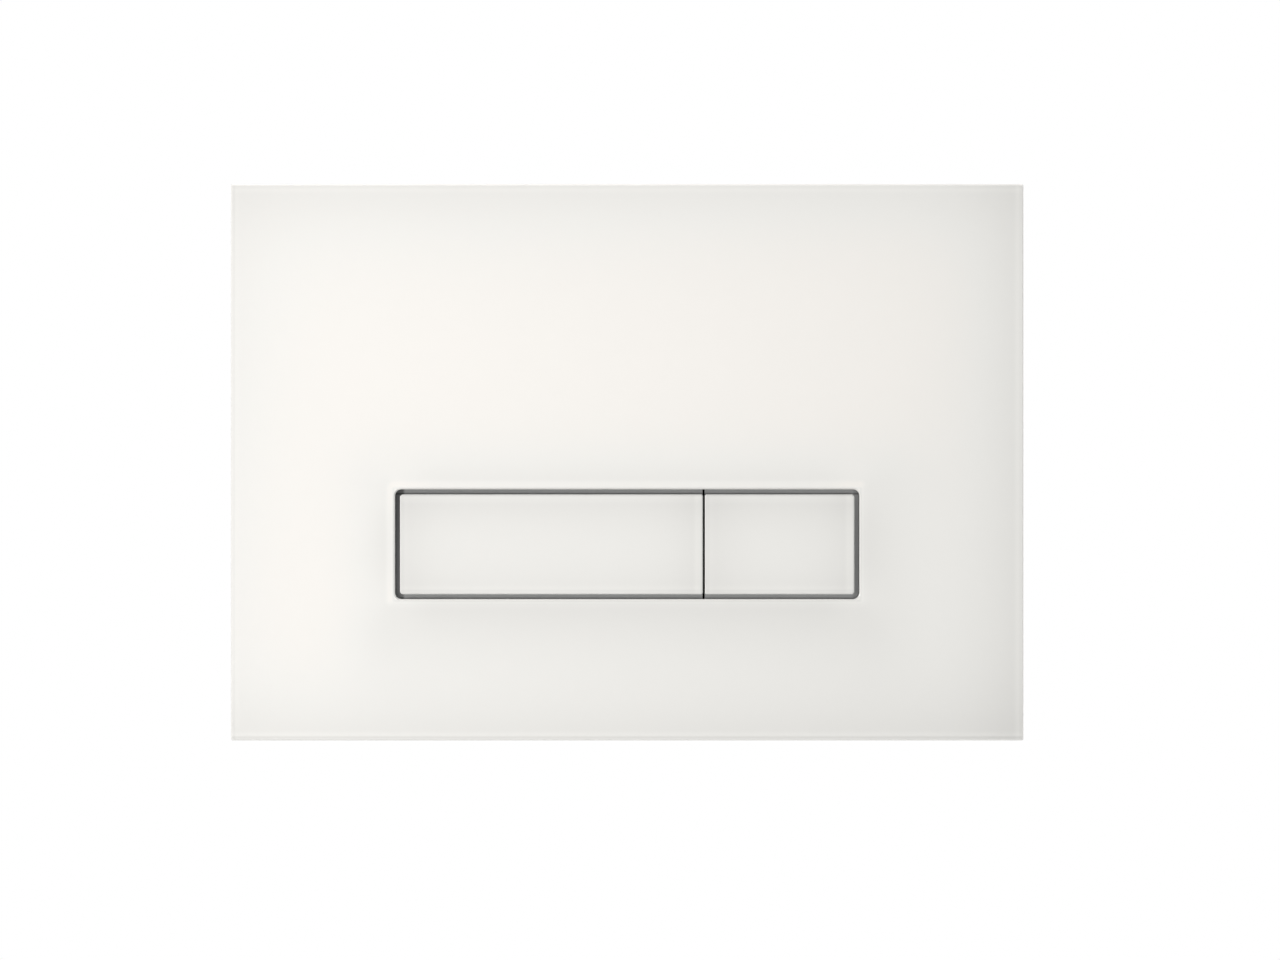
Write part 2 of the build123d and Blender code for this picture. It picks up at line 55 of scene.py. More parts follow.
class Reading:
    """A value that changes over a surface. Arithmetic on it adds Math nodes, and node() adds any other node."""

    def __init__(self, tree, socket=None):
        self.tree = tree
        self.socket = socket

    def node(self, kind, settings, sockets, output=0):
        """Adds a node of any kind, with its settings and the values or readings of its sockets."""
        made = self.tree.nodes.new(kind)
        for name, value in settings.items():
            setattr(made, name, value)
        for name, value in sockets.items():
            if isinstance(value, Reading):
                self.tree.links.new(value.socket, made.inputs[name])
            else:
                made.inputs[name].default_value = value
        return Reading(self.tree, made.outputs[output])

    def __getitem__(self, output):
        return Reading(self.tree, self.socket.node.outputs[output])

    def maths(self, operation, first, second=0.0):
        """Adds a Math node."""
        return self.node("ShaderNodeMath", {"operation": operation}, {0: first, 1: second})

    def __add__(self, other):
        return self.maths("ADD", self, other)

    def __radd__(self, other):
        return self.maths("ADD", other, self)

    def __sub__(self, other):
        return self.maths("SUBTRACT", self, other)

    def __rsub__(self, other):
        return self.maths("SUBTRACT", other, self)

    def __mul__(self, other):
        return self.maths("MULTIPLY", self, other)

    def __rmul__(self, other):
        return self.maths("MULTIPLY", other, self)

    def __truediv__(self, other):
        return self.maths("DIVIDE", self, other)

    def __pow__(self, other):
        return self.maths("POWER", self, other)

    def __rpow__(self, other):
        return self.maths("POWER", other, self)

    def __abs__(self):
        return self.maths("ABSOLUTE", self)

    def __gt__(self, other):
        return self.maths("GREATER_THAN", self, other)

    def at_least(self, other):
        return self.maths("MAXIMUM", self, other)

    def at_most(self, other):
        return self.maths("MINIMUM", self, other)

    def ramp(self, low, high):
        """0 below low, 1 above high, smooth between."""
        settings = {"interpolation_type": "SMOOTHSTEP"}
        return self.node("ShaderNodeMapRange", settings, {"Value": self, "From Min": low, "From Max": high})

    def between(self, first, second):
        """Mixes two colours, or two readings of colour, by this value."""
        return self.node("ShaderNodeMix", {"data_type": "RGBA"}, {0: self, 6: first, 7: second}, 2)

    def noise(self, scale, detail=2.0):
        """Noise with that many waves to the metre."""
        return self.node("ShaderNodeTexNoise", {}, {"Vector": self, "Scale": scale, "Detail": detail})

    def stretched(self, along):
        """The same place or direction with its axes scaled, for grain that runs one way."""
        return self.node("ShaderNodeVectorMath", {"operation": "MULTIPLY"}, {0: self, 1: along})

    def split(self):
        """The parts of a place or direction, read as X, Y and Z."""
        return self.node("ShaderNodeSeparateXYZ", {}, {0: self})

    def facing(self):
        """The way the surface faces."""
        return self.node("ShaderNodeNewGeometry", {}, {}, "Normal")

    def into(self, shader, socket):
        """Leads this value into a socket of the shader."""
        self.tree.links.new(self.socket, shader.inputs[socket])


def new_finish(name, constants):
    """A material, its shader with the constants set on its own sockets, and the place on the piece in metres."""
    finish = bpy.data.materials.new(name)
    finish.use_nodes = True
    shader = finish.node_tree.nodes["Principled BSDF"]
    for socket, value in constants.items():
        shader.inputs[socket].default_value = value
    place = Reading(finish.node_tree).node("ShaderNodeTexCoord", {}, {}, "Object")
    return finish, shader, place


def pin_marks(place, radius, spots):
    """1 in the shallow round marks that the mould's pins leave on flat backs and floors, at spots across and up."""
    soft_rim, far_off, flat_enough = 0.00012, 1.0, 0.98
    across = place.stretched((1.0, 0.0, 1.0))
    nearest = far_off
    for x, z in spots:
        here = place.node("ShaderNodeVectorMath", {"operation": "DISTANCE"}, {0: across, 1: (x, 0.0, z)}, "Value")
        nearest = here.at_most(nearest)
    flat = abs(place.facing().split()["Y"]) > flat_enough
    return (1 - nearest.ramp(radius - soft_rim, radius + soft_rim)) * flat


def moulded(name, light, dark, roughness, grain, relief, edge, pins=None, hollow_shade=None):
    """A moulding, light to dark by its flow marks. Grain is in waves to the metre, relief is how strongly it stands
    out, and edge is the radius of the mould's worn edges. Pins are the radius and spots of the pin marks on a large
    piece, and the hollows are the colour of the shade painted deep in a thread."""
    flow_scale, grain_height, rough_spread = 26.0, 0.0001, 0.1
    pin_depth, pin_dark, pin_gloss = 0.00025, 0.35, 0.12
    deep, shallow = 0.40, 0.49
    finish, shader, place = new_finish(name, {"IOR": 1.5})
    flow = place.stretched((0.5, 1.0, 1.6)).noise(flow_scale, detail=3.0).ramp(0.3, 0.7)
    grained = place.noise(grain)
    rough = roughness - rough_spread / 2 + rough_spread * grained
    surface = place.node("ShaderNodeBevel", {"samples": 4}, {"Radius": edge})
    if pins:
        marks = pin_marks(place, *pins)
        flow = flow + pin_dark * marks
        rough = rough - pin_gloss * marks
        pressed = {"Strength": 1.0, "Distance": pin_depth, "Height": 1 - marks, "Normal": surface}
        surface = place.node("ShaderNodeBump", {}, pressed)
    colour = flow.between(light, dark)
    # Painted shade: the hollows of a thread are darkened, where shade falls deep in them.
    if hollow_shade:
        shaded_hollow = 1 - place.node("ShaderNodeNewGeometry", {}, {}, "Pointiness").ramp(deep, shallow)
        colour = shaded_hollow.between(colour, hollow_shade)
    colour.into(shader, "Base Color")
    rough.into(shader, "Roughness")
    raised = {"Strength": relief, "Distance": grain_height, "Height": grained, "Normal": surface}
    place.node("ShaderNodeBump", {}, raised).into(shader, "Normal")
    return finish


def dress(node, finish):
    """Gives a CAD node its finish."""
    mesh = nodes[node].data
    mesh.materials.clear()
    mesh.materials.append(finish)


frame_pin_radius = 0.0025
frame_pins = [(side * x, z) for side in (-1, 1)
              for x, z in ((0.100, 0.05), (0.100, -0.05), (0.081, 0.036), (0.081, -0.036))]
frame_pins += [(x, z) for z in (0.064, -0.064) for x in (-0.06, 0.0, 0.06)]
frame_pins += [(0.011, -0.038)]
frame_plastic = moulded("frame_plastic", light=(0.56, 0.57, 0.58, 1), dark=(0.51, 0.52, 0.53, 1), roughness=0.52,
                        grain=3200.0, relief=0.25, edge=0.0003, pins=(frame_pin_radius, frame_pins))
dress("mounting_frame", frame_plastic)

# Fixing studs: turned from glass-filled nylon, with a fine thread in front for the nut, a six-sided collar
# against the floor of the basket and a coarse thread behind that screws into the cistern box.


def solid(name, points, faces):
    """A mesh piece with its faces turned outwards and its hard edges kept."""
    hard_edge = math.radians(32)
    mesh = bpy.data.meshes.new(name)
    mesh.from_pydata(points, [], faces)
    shape = bmesh.new()
    shape.from_mesh(mesh)
    bmesh.ops.recalc_face_normals(shape, faces=shape.faces)
    shape.to_mesh(mesh)
    shape.free()
    mesh.shade_smooth()
    mesh.set_sharp_from_angle(angle=hard_edge)
    piece = bpy.data.objects.new(name, mesh)
    bpy.context.scene.collection.objects.link(piece)
    return piece


def turned(name, axis, stations, segments, ring=False):
    """A piece turned about a line along the depth. Each station is a depth and a radius, or a radius by angle.
    A ring's last station joins its first; any other piece is closed with a disc at both ends."""
    x, z = axis
    points = []
    for depth, radius in stations:
        for step in range(segments):
            angle = 2 * math.pi * step / segments
            reach = radius(angle) if callable(radius) else radius
            points.append((x + reach * math.cos(angle), depth, z + reach * math.sin(angle)))
    count = len(stations)
    faces = []
    for row in range(count if ring else count - 1):
        below, above = row * segments, (row + 1) % count * segments
        for step in range(segments):
            after = (step + 1) % segments
            faces.append((below + step, below + after, above + after, above + step))
    if not ring:
        faces.append(tuple(range(segments - 1, -1, -1)))
        faces.append(tuple(range((count - 1) * segments, count * segments)))
    return solid(name, points, faces)


def axis_of(node):
    """Where the middle line of a round node stands, across and up."""
    low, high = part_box(node)
    return (low.x + high.x) / 2, (low.z + high.z) / 2


def threaded(start, end, crest, pitch, runout):
    """Stations of a screw thread between two depths, cut in from its crest and run out at both ends."""
    steps_per_turn, depth_share, root_flat, flank_share = 10, 0.61, 0.08, 0.34
    root = depth_share * pitch
    steps = round((end - start) / pitch * steps_per_turn)

    def cut(depth):
        fade = min(1.0, (depth - start) / runout, (end - depth) / runout)

        def radius(angle):
            turn = (depth / pitch - angle / (2 * math.pi)) % 1.0
            flank = min(max((abs(turn - 0.5) - root_flat) / flank_share, 0.0), 1.0)
            return crest - root * (1 - flank) * max(fade, 0.0)

        return radius

    depths = [start + (end - start) * step / steps for step in range(steps + 1)]
    return [(depth, cut(depth)) for depth in depths]


def flats(corner, sides):
    """The outline of a regular bar with that many flats, by angle."""
    sector = 2 * math.pi / sides
    return lambda angle: corner * math.cos(sector / 2) / math.cos(angle % sector - sector / 2)


stud_finish = moulded("stud_plastic", light=(0.80, 0.78, 0.72, 1), dark=(0.72, 0.70, 0.63, 1), roughness=0.42,
                      grain=2400.0, relief=0.2, edge=0.0002, hollow_shade=(0.40, 0.38, 0.33, 1))
floor_thickness = 0.002
nose_radius, nose_pitch, nose_runout = 0.003, 0.001, 0.0008
stud_radius, stud_pitch, stud_runout = 0.004, 0.00125, 0.001
collar_length, collar_corner, collar_bevel = 0.004, 0.0065, 0.0004
end_bevel, nose_neck, stud_neck = 0.0007, 0.0003, 0.002
hexagon, hexagon_face = flats(collar_corner, 6), flats(collar_corner - collar_bevel, 6)
for side in ("left", "right"):
    node = f"fixing_stud_{side}"
    low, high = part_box(node)
    collar_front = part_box(f"stud_nut_{side}")[1].y + floor_thickness
    collar_back = collar_front + collar_length
    stations = [(low.y, nose_radius - end_bevel), (low.y + end_bevel, nose_radius)]
    stations += threaded(low.y + 2 * end_bevel, collar_front - nose_neck, nose_radius, nose_pitch, nose_runout)
    stations += [(collar_front, nose_radius), (collar_front, hexagon_face), (collar_front + collar_bevel, hexagon)]
    stations += [(collar_back - collar_bevel, hexagon), (collar_back, hexagon_face), (collar_back, stud_radius)]
    stations += threaded(collar_back + stud_neck, high.y - 2 * end_bevel, stud_radius, stud_pitch, stud_runout)
    stations += [(high.y - end_bevel, stud_radius), (high.y, stud_radius - end_bevel)]
    stud = turned(f"threaded_stud_{side}", axis_of(node), stations, segments=36)
    stud.data.materials.append(stud_finish)
    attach(stud, "wall_assembly")
    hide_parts(node)

# Hand nuts: dark nylon with twelve grip lobes, run down the nose of each stud by hand
# until they clamp the floor of the basket against the collar.
nut_finish = moulded("nut_plastic", light=(0.085, 0.09, 0.10, 1), dark=(0.06, 0.064, 0.072, 1), roughness=0.45,
                     grain=2600.0, relief=0.25, edge=0.0002, hollow_shade=(0.03, 0.032, 0.036, 1))
lobes, lobe_depth, lobe_fullness = 12, 0.0006, 0.7
nut_bore, nut_bore_bevel = nose_radius + 0.00004, 0.0006
front_trim, front_rounding = 0.0016, ((0.0007, 0.0006), (0.0013, 0.0))
back_trim, back_rounding = 0.0014, ((0.0011, 0.0), (0.0005, 0.0005))


def lobed(outer, trim):
    """The outline of the grip with its lobes trimmed back, by angle."""
    return lambda angle: outer - trim - lobe_depth * (0.5 - 0.5 * math.cos(lobes * angle)) ** lobe_fullness


for side in ("left", "right"):
    node = f"stud_nut_{side}"
    low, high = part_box(node)
    outer = (high.x - low.x) / 2
    stations = [(low.y, nut_bore + nut_bore_bevel), (low.y, outer - front_trim)]
    stations += [(low.y + depth, lobed(outer, trim)) for depth, trim in front_rounding]
    stations += [(high.y - depth, lobed(outer, trim)) for depth, trim in back_rounding]
    stations += [(high.y, outer - back_trim), (high.y, nut_bore + nut_bore_bevel)]
    stations += [(high.y - nut_bore_bevel, nut_bore), (low.y + nut_bore_bevel, nut_bore)]
    nut = turned(f"lobed_nut_{side}", axis_of(node), stations, segments=96, ring=True)
    nut.data.materials.append(nut_finish)
    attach(nut, "wall_assembly")
    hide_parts(node)

# Guide bushes: white acetal, a square flange in front of the basket's floor and a sleeve through it
# that steers the push rod. A bead behind the floor snaps each one in.
bush_finish = moulded("bush_plastic", light=(0.86, 0.86, 0.84, 1), dark=(0.80, 0.80, 0.78, 1), roughness=0.34,
                      grain=1800.0, relief=0.1, edge=0.0002)
flange_thickness, flange_bevel, flange_squareness = 0.0015, 0.0005, 14
sleeve, sleeve_bevel, bead = 0.005, 0.0008, 0.00035
bead_profile = ((0.0002, 0.0), (0.0005, bead), (0.0009, bead), (0.0022, 0.0))
bush_bore, bore_front_bevel, bore_back_bevel = 0.00306, 0.0005, 0.0004


def squared(half_side):
    """The outline of a square flange with rounded corners, by angle."""
    power = flange_squareness
    return lambda angle: half_side / (abs(math.cos(angle)) ** power + abs(math.sin(angle)) ** power) ** (1 / power)


for button in ("full", "half"):
    node = f"{button}_guide_bush"
    low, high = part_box(node)
    half_side = (high.x - low.x) / 2
    floor_front = low.y + flange_thickness
    floor_back = floor_front + floor_thickness
    stations = [(low.y, bush_bore + bore_front_bevel), (low.y, squared(half_side - flange_bevel))]
    stations += [(low.y + flange_bevel, squared(half_side)), (floor_front, squared(half_side)), (floor_front, sleeve)]
    stations += [(floor_back + depth, sleeve + rise) for depth, rise in bead_profile]
    stations += [(high.y - sleeve_bevel, sleeve), (high.y, sleeve - sleeve_bevel)]
    stations += [(high.y, bush_bore + bore_back_bevel), (high.y - bore_back_bevel, bush_bore)]
    stations += [(low.y + bore_front_bevel, bush_bore)]
    bush = turned(f"{button}_snap_bush", axis_of(node), stations, segments=64, ring=True)
    bush.data.materials.append(bush_finish)
    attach(bush, "wall_assembly")
    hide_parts(node)

# Return springs: stainless strip, bent cold. Each foot sits in a pocket on the basket's floor and the curled tip
# bears on the back of the button. The real strip folds flatter as the button goes in; this piece keeps its rest
# shape.


def rounded_path(corners, radius, steps):
    """Points along a line with an arc of that radius in place of each inner corner."""
    points = [corners[0]]
    for before, corner, after in zip(corners, corners[1:], corners[2:]):
        back = ((before[0] - corner[0]), (before[1] - corner[1]))
        ahead = ((after[0] - corner[0]), (after[1] - corner[1]))
        back_length, ahead_length = math.hypot(*back), math.hypot(*ahead)
        back = (back[0] / back_length, back[1] / back_length)
        ahead = (ahead[0] / ahead_length, ahead[1] / ahead_length)
        half_angle = math.acos(back[0] * ahead[0] + back[1] * ahead[1]) / 2
        run = radius / math.tan(half_angle)
        split = (back[0] + ahead[0], back[1] + ahead[1])
        size = math.hypot(*split)
        reach = radius / math.sin(half_angle)
        hub = (corner[0] + split[0] / size * reach, corner[1] + split[1] / size * reach)
        first = math.atan2(corner[1] + back[1] * run - hub[1], corner[0] + back[0] * run - hub[0])
        last = math.atan2(corner[1] + ahead[1] * run - hub[1], corner[0] + ahead[0] * run - hub[0])
        sweep = (last - first + math.pi) % (2 * math.pi) - math.pi
        for step in range(steps + 1):
            angle = first + sweep * step / steps
            points.append((hub[0] + radius * math.cos(angle), hub[1] + radius * math.sin(angle)))
    return points + [corners[-1]]


def strip(path, thickness, left, right, edge):
    """Points and faces of a flat strip swept along a path in depth and height, with its long edges rounded off."""
    section = [(left, edge), (left, thickness - edge), (left + edge, thickness), (right - edge, thickness)]
    section += [(right, thickness - edge), (right, edge), (right - edge, 0.0), (left + edge, 0.0)]
    points = []
    for index, (depth, height) in enumerate(path):
        before, after = path[max(index - 1, 0)], path[min(index + 1, len(path) - 1)]
        run, rise = after[0] - before[0], after[1] - before[1]
        size = math.hypot(run, rise)
        points += [(x, depth - rise / size * lift, height + run / size * lift) for x, lift in section]
    size = len(section)
    faces = [tuple(range(size)), tuple(range(len(points) - 1, len(points) - size - 1, -1))]
    for row in range(len(path) - 1):
        for step in range(size):
            this, following = row * size + step, row * size + (step + 1) % size
            faces.append((this, following, following + size, this + size))
    return points, faces


def joined(name, shapes):
    """One piece made of several shapes, each given by its points and faces."""
    points, faces = [], []
    for shape_points, shape_faces in shapes:
        faces += [tuple(index + len(points) for index in face) for face in shape_faces]
        points += shape_points
    return solid(name, points, faces)


spring_finish, shader, place = new_finish("spring_steel", {"Metallic": 1.0, "IOR": 2.5})
rolled = place.stretched((1.0, 0.04, 0.04)).noise(5200.0, detail=3.0)
rolled.between((0.66, 0.66, 0.66, 1), (0.50, 0.50, 0.51, 1)).into(shader, "Base Color")
(0.24 + 0.16 * rolled).into(shader, "Roughness")
spring_thickness, spring_edge, spring_bend, bend_steps = 0.0004, 0.0001, 0.0025, 10
foot_length, tip_height, curl_depth, curl_height = 0.0087, 0.0215, 0.0017, 0.0028
for button, spring_width in (("full", 0.008), ("half", 0.006)):
    node = f"{button}_return_springs"
    low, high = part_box(node)
    spring_tip = low.z + tip_height
    foot = [(high.y, low.z), (high.y, low.z + foot_length)]
    curl = [(low.y + spring_thickness, spring_tip), (low.y + curl_depth, spring_tip + curl_height)]
    path = rounded_path(foot + curl, spring_bend, bend_steps)
    strips = [strip(path, spring_thickness, left, left + spring_width, spring_edge)
              for left in (low.x, high.x - spring_width)]
    springs = joined(f"{button}_spring_strips", strips)
    springs.data.materials.append(spring_finish)
    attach(springs, "wall_assembly")
    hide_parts(node)
    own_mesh(springs)

# Push rods: blue nylon, long enough to reach from the button to the valve. Behind, a knurled grip
# and a thin threaded tip that screws into the valve's lever.
rod_finish = moulded("rod_plastic", light=(0.075, 0.17, 0.33, 1), dark=(0.055, 0.13, 0.27, 1), roughness=0.36,
                     grain=2200.0, relief=0.15, edge=0.0002, hollow_shade=(0.02, 0.05, 0.12, 1))
shaft, shaft_bevel, groove_depth = 0.003, 0.0004, 0.0003
knurls, knurl_depth = 20, 0.00022
tip, tip_length, tip_bevel, tip_pitch, tip_runout = 0.0025, 0.012, 0.0005, 0.0008, 0.0006
neck_end, tip_start, thread_start, thread_stop = 0.0008, 0.001, 0.0011, 0.0006
groove, tip_neck = shaft - groove_depth, tip - groove_depth


def knurled(angle):
    """The outline of the grip, by angle."""
    return shaft - knurl_depth * (0.5 - 0.5 * math.cos(knurls * angle))


grip_profile = ((0.0135, shaft), (0.0132, groove), (0.0126, groove), (0.0123, knurled), (0.0018, knurled),
                (0.0015, groove), (0.0009, groove), (0.0006, shaft), (0.0003, shaft), (0.0, groove))
for button in ("full", "half"):
    node = f"{button}_push_rod"
    low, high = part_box(node)
    step_back = high.y - tip_length
    stations = [(low.y, shaft - shaft_bevel), (low.y + shaft_bevel, shaft)]
    stations += [(step_back - before, radius) for before, radius in grip_profile]
    stations += [(step_back, tip_neck), (step_back + neck_end, tip_neck), (step_back + tip_start, tip)]
    stations += threaded(step_back + thread_start, high.y - thread_stop, tip, tip_pitch, tip_runout)
    stations += [(high.y - tip_bevel, tip), (high.y, tip - tip_bevel)]
    rod = turned(f"{button}_threaded_rod", axis_of(node), stations, segments=60)
    rod.data.materials.append(rod_finish)
    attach(rod, f"{button}_rod")
    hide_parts(node)

# Rod caps: white acetal with twelve flats, pushed on the front of each rod.
# The pad of the button presses on the cap's face.
cap_finish = moulded("cap_plastic", light=(0.84, 0.84, 0.82, 1), dark=(0.78, 0.78, 0.76, 1), roughness=0.34,
                     grain=1800.0, relief=0.1, edge=0.0004)
for button in ("full", "half"):
    dress(f"{button}_rod_cap", cap_finish)

# Back frame: the moulded tray that the cover glass is taped to, white plastic with a fine grain.
# Four arms on its back push into slots of the mounting frame and hold the plate on the wall.
tray_pin_radius = 0.002
tray_pins = [(x, 0.020) for x in (-0.051, -0.017, 0.017, 0.051)]
tray_plastic = moulded("tray_plastic", light=(0.84, 0.84, 0.82, 1), dark=(0.79, 0.79, 0.77, 1), roughness=0.48,
                       grain=3000.0, relief=0.25, edge=0.0003, pins=(tray_pin_radius, tray_pins))
dress("back_frame", tray_plastic)

# Hinge axle: one length of bright drawn steel through the lugs of the tray and the arms of both buttons.
# Two tongues of the tray keep it from sliding out.
axle_finish, shader, place = new_finish("axle_steel", {"Metallic": 1.0, "IOR": 2.5})
drawn = place.stretched((0.03, 1.0, 1.0)).noise(7000.0, detail=3.0)
drawn.between((0.68, 0.68, 0.69, 1), (0.50, 0.50, 0.51, 1)).into(shader, "Base Color")
(0.16 + 0.18 * drawn).into(shader, "Roughness")
dress("hinge_axle", axle_finish)

# Stop buffers and pusher pads: black rubber. The buffers are stuck on the tray, where the buttons come back
# against them, and the pads on the pusher ribs, where they meet the rod caps.
rubber = moulded("buffer_rubber", light=(0.035, 0.035, 0.035, 1), dark=(0.022, 0.022, 0.022, 1), roughness=0.78,
                 grain=4200.0, relief=0.4, edge=0.0002)
for node in ("stop_buffers", "full_pusher_pad", "half_pusher_pad"):
    dress(node, rubber)

# Painted shade: two thin black strips behind the divide between the buttons, put in place of the shade there, so
# that nothing bright shows through it. One is stuck on the tail of the tray's middle lug, the other on the floor of
# the basket.


def rounded_bar(low, high, edge):
    """Points and faces of a bar with all its edges rounded off by one small flat."""
    points = []
    for axis in range(3):
        for corner in range(8):
            point = [(high if corner >> way & 1 else low)[way] for way in range(3)]
            for way in range(3):
                if way != axis:
                    point[way] += -edge if corner >> way & 1 else edge
            points.append(tuple(point))
    faces = []
    for axis in range(3):
        one, two = (axis + 1) % 3, (axis + 2) % 3
        for side in (0, 1):
            flat = [(side << axis) | (a << one) | (b << two) for a, b in ((0, 0), (1, 0), (1, 1), (0, 1))]
            faces.append(tuple(axis * 8 + corner for corner in flat))
        for a in (0, 1):
            for b in (0, 1):
                ends = [(a << one) | (b << two) | (c << axis) for c in (0, 1)]
                faces.append((one * 8 + ends[0], one * 8 + ends[1], two * 8 + ends[1], two * 8 + ends[0]))
    faces += [tuple(axis * 8 + corner for axis in range(3)) for corner in range(8)]
    return points, faces


# Painted shade: the strips are near black.
shade_black = moulded("divide_shade_black", light=(0.02, 0.02, 0.02, 1), dark=(0.012, 0.012, 0.012, 1), roughness=0.92,
               grain=2600.0, relief=0.8, edge=0.0001)
sheet_edge = 0.0001
divide_middle = (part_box("full_button_glass")[1].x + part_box("half_button_glass")[0].x) / 2
tail_front, tail_low, tail_high = -0.00365, -0.017, -0.0045
tail_sheet, tail_sheet_half = 0.0003, 0.0006
floor_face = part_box("full_return_springs")[1].y
floor_low, floor_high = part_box("full_button_glass")[0].z - 0.004, -0.0177
floor_sheet, floor_sheet_left, floor_sheet_right = 0.0008, 0.002, 0.004
tail_strip = rounded_bar((divide_middle - tail_sheet_half, tail_front - tail_sheet, tail_low),
                         (divide_middle + tail_sheet_half, tail_front, tail_high), sheet_edge)
floor_strip = rounded_bar((divide_middle - floor_sheet_left, floor_face - floor_sheet, floor_low),
                          (divide_middle + floor_sheet_right, floor_face, floor_high), sheet_edge)
shade_strips = joined("divide_shade_strips", [tail_strip, floor_strip])
shade_strips.data.materials.append(shade_black)
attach(shade_strips, "wall_assembly")

# Button carriers: moulded, then sprayed a satin metallic grey. The rim of each one shows in the window
# as a band round the glass of its button, and its arms hang on the hinge axle.
sprayed_grey, dark_tone_and_shade = (0.50, 0.50, 0.495, 1), (0.06, 0.06, 0.06, 1)
even_dark, flake_dark, cloud_dark, crease_shade_dark = 0.28, 0.1, 0.08, 0.27
left_shade, upper_left_shade, right_shade, lower_highlight, upper_highlight = 0.34, 0.12, 0.12, 0.25, 0.10
crease_near, crease_far, rim_show = 0.0001, 0.0004, 0.0015
rim_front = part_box("full_button_carrier")[0].y
full_low, full_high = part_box("full_button_glass")
half_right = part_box("half_button_glass")[1].x
carrier_finish, shader, place = new_finish("carrier_grey", {"Metallic": 0.85, "IOR": 1.5})
flake = place.noise(5200.0, detail=1.0)
cloud = place.noise(60.0)
spot = place.split()
x, y, z = spot["X"], spot["Y"], spot["Z"]
left_end = 1 - x.ramp(full_low.x + 0.0003, full_low.x + 0.0013)
right_end = x.ramp(half_right - 0.0003, half_right + 0.0003)
lower = 1 - z.ramp(full_low.z - 0.001, full_low.z + 0.001)
upper = z.ramp(full_high.z + 0.0002, full_high.z + 0.0006)
# Painted shade: the band is darker in a fine line where it meets the glass below it.
off_upper_crease = abs(z - full_high.z).ramp(crease_near, crease_far)
off_lower_crease = abs(z - (full_low.z - rim_show)).ramp(crease_near, crease_far)
crease_shade = 1 - off_upper_crease * off_lower_crease
on_rim = 1 - y.ramp(rim_front + 0.0002, rim_front + 0.0006)
# Painted light and shade on the band: darker at the left end, most towards its top, and at the right end;
# painted paler along the lower band and on the rim of the upper band.
painted_light_and_shade = upper_left_shade * left_end * z.ramp(full_low.z, full_high.z) + left_shade * left_end
painted_light_and_shade = painted_light_and_shade - lower_highlight * lower * (1 - left_end) + right_shade * right_end
painted_light_and_shade = painted_light_and_shade + (crease_shade_dark * crease_shade - upper_highlight * upper * (1 - left_end)) * on_rim
# The grey takes the spray's own tone, flakes and clouds, together with the painted light and shade.
tone_and_painted_shade = even_dark + painted_light_and_shade + flake_dark * flake + cloud_dark * cloud
tone_and_painted_shade.between(sprayed_grey, dark_tone_and_shade).into(shader, "Base Color")
(0.30 + 0.12 * flake).into(shader, "Roughness")
soft_edge = place.node("ShaderNodeBevel", {"samples": 4}, {"Radius": 0.00025})
raised = {"Strength": 0.15, "Distance": 0.00005, "Height": flake, "Normal": soft_edge}
place.node("ShaderNodeBump", {}, raised).into(shader, "Normal")
for button in ("full", "half"):
    dress(f"{button}_button_carrier", carrier_finish)

# Tapes: grey acrylic foam, cut in strips, sticky on both faces. They hold the cover glass on the tray
# and the glass of each button on its carrier.
tape_finish = moulded("foam_tape", light=(0.42, 0.42, 0.41, 1), dark=(0.32, 0.32, 0.31, 1), roughness=0.85,
                      grain=1500.0, relief=0.6, edge=0.0001)
for node in ("plate_tape", "full_button_tape", "half_button_tape"):
    dress(node, tape_finish)

# Glass of the buttons: float glass, painted white on its back, with polished edges, taped on the carriers. Near an
# edge the white is painted dimmer as shade, where less light comes back through the glass, with fine painted dark
# and pale lines beside the arris. The arris is the small flat that is ground on the front edges, and a painted
# reflection of the dark gap beside it darkens some of it.
edge_green, edge_dark = (0.23, 0.265, 0.25, 1), (0.11, 0.13, 0.125, 1)
deep_shade_white, arris_shade = (0.645, 0.641, 0.622, 1), (0.79, 0.785, 0.765, 1)
cool_white = (0.905, 0.899, 0.872, 1)


def line(distance, centre, width):
    """1 at one distance from an edge, falling off on both sides of it."""
    return math.e ** (0 - ((distance - centre) / width) ** 2)


def dimmed(distance, reach, strength, near_line, far_line):
    """How far the white is painted dimmer at a distance from an edge: a broad painted shade that fades with its
    reach, a painted dark line near the arris, which is a pale one below 0, and a wider painted pale line beyond it."""
    fall_off = 1.3
    near = near_line * line(distance, centre=0.0010, width=0.00035)
    far = far_line * line(distance, centre=0.0017, width=0.0009)
    return strength * math.e ** (0 - (distance / reach) ** fall_off) + (near - far)


def beside_window(x, z, window):
    """Painted shade round a window, the painted paler corners, and the distance from the window."""
    near_line, corner_pale, corner_reach = -0.35, 0.42, 0.008
    left, right, bottom, top, sides = window
    spread, shade, fade, gleam = 1e-9, 0.0, 1e-12, 0.0
    for (strength, reach, far_line), distance in zip(sides, (left - x, x - right, z - top, bottom - z)):
        outside = distance.at_least(0.0) ** 2
        spread = spread + outside
        shade = shade + strength * outside
        fade = fade + reach * outside
        gleam = gleam + far_line * outside
    dim = dimmed(spread ** 0.5, fade / spread, shade / spread, near_line, gleam / spread)
    across = abs(abs(x - (left + right) / 2) - (right - left) / 2)
    upward = abs(abs(z - (bottom + top) / 2) - (top - bottom) / 2)
    corner = math.e ** (0 - (across ** 2 + upward ** 2) / corner_reach ** 2)
    return dim, corner_pale * corner, spread ** 0.5


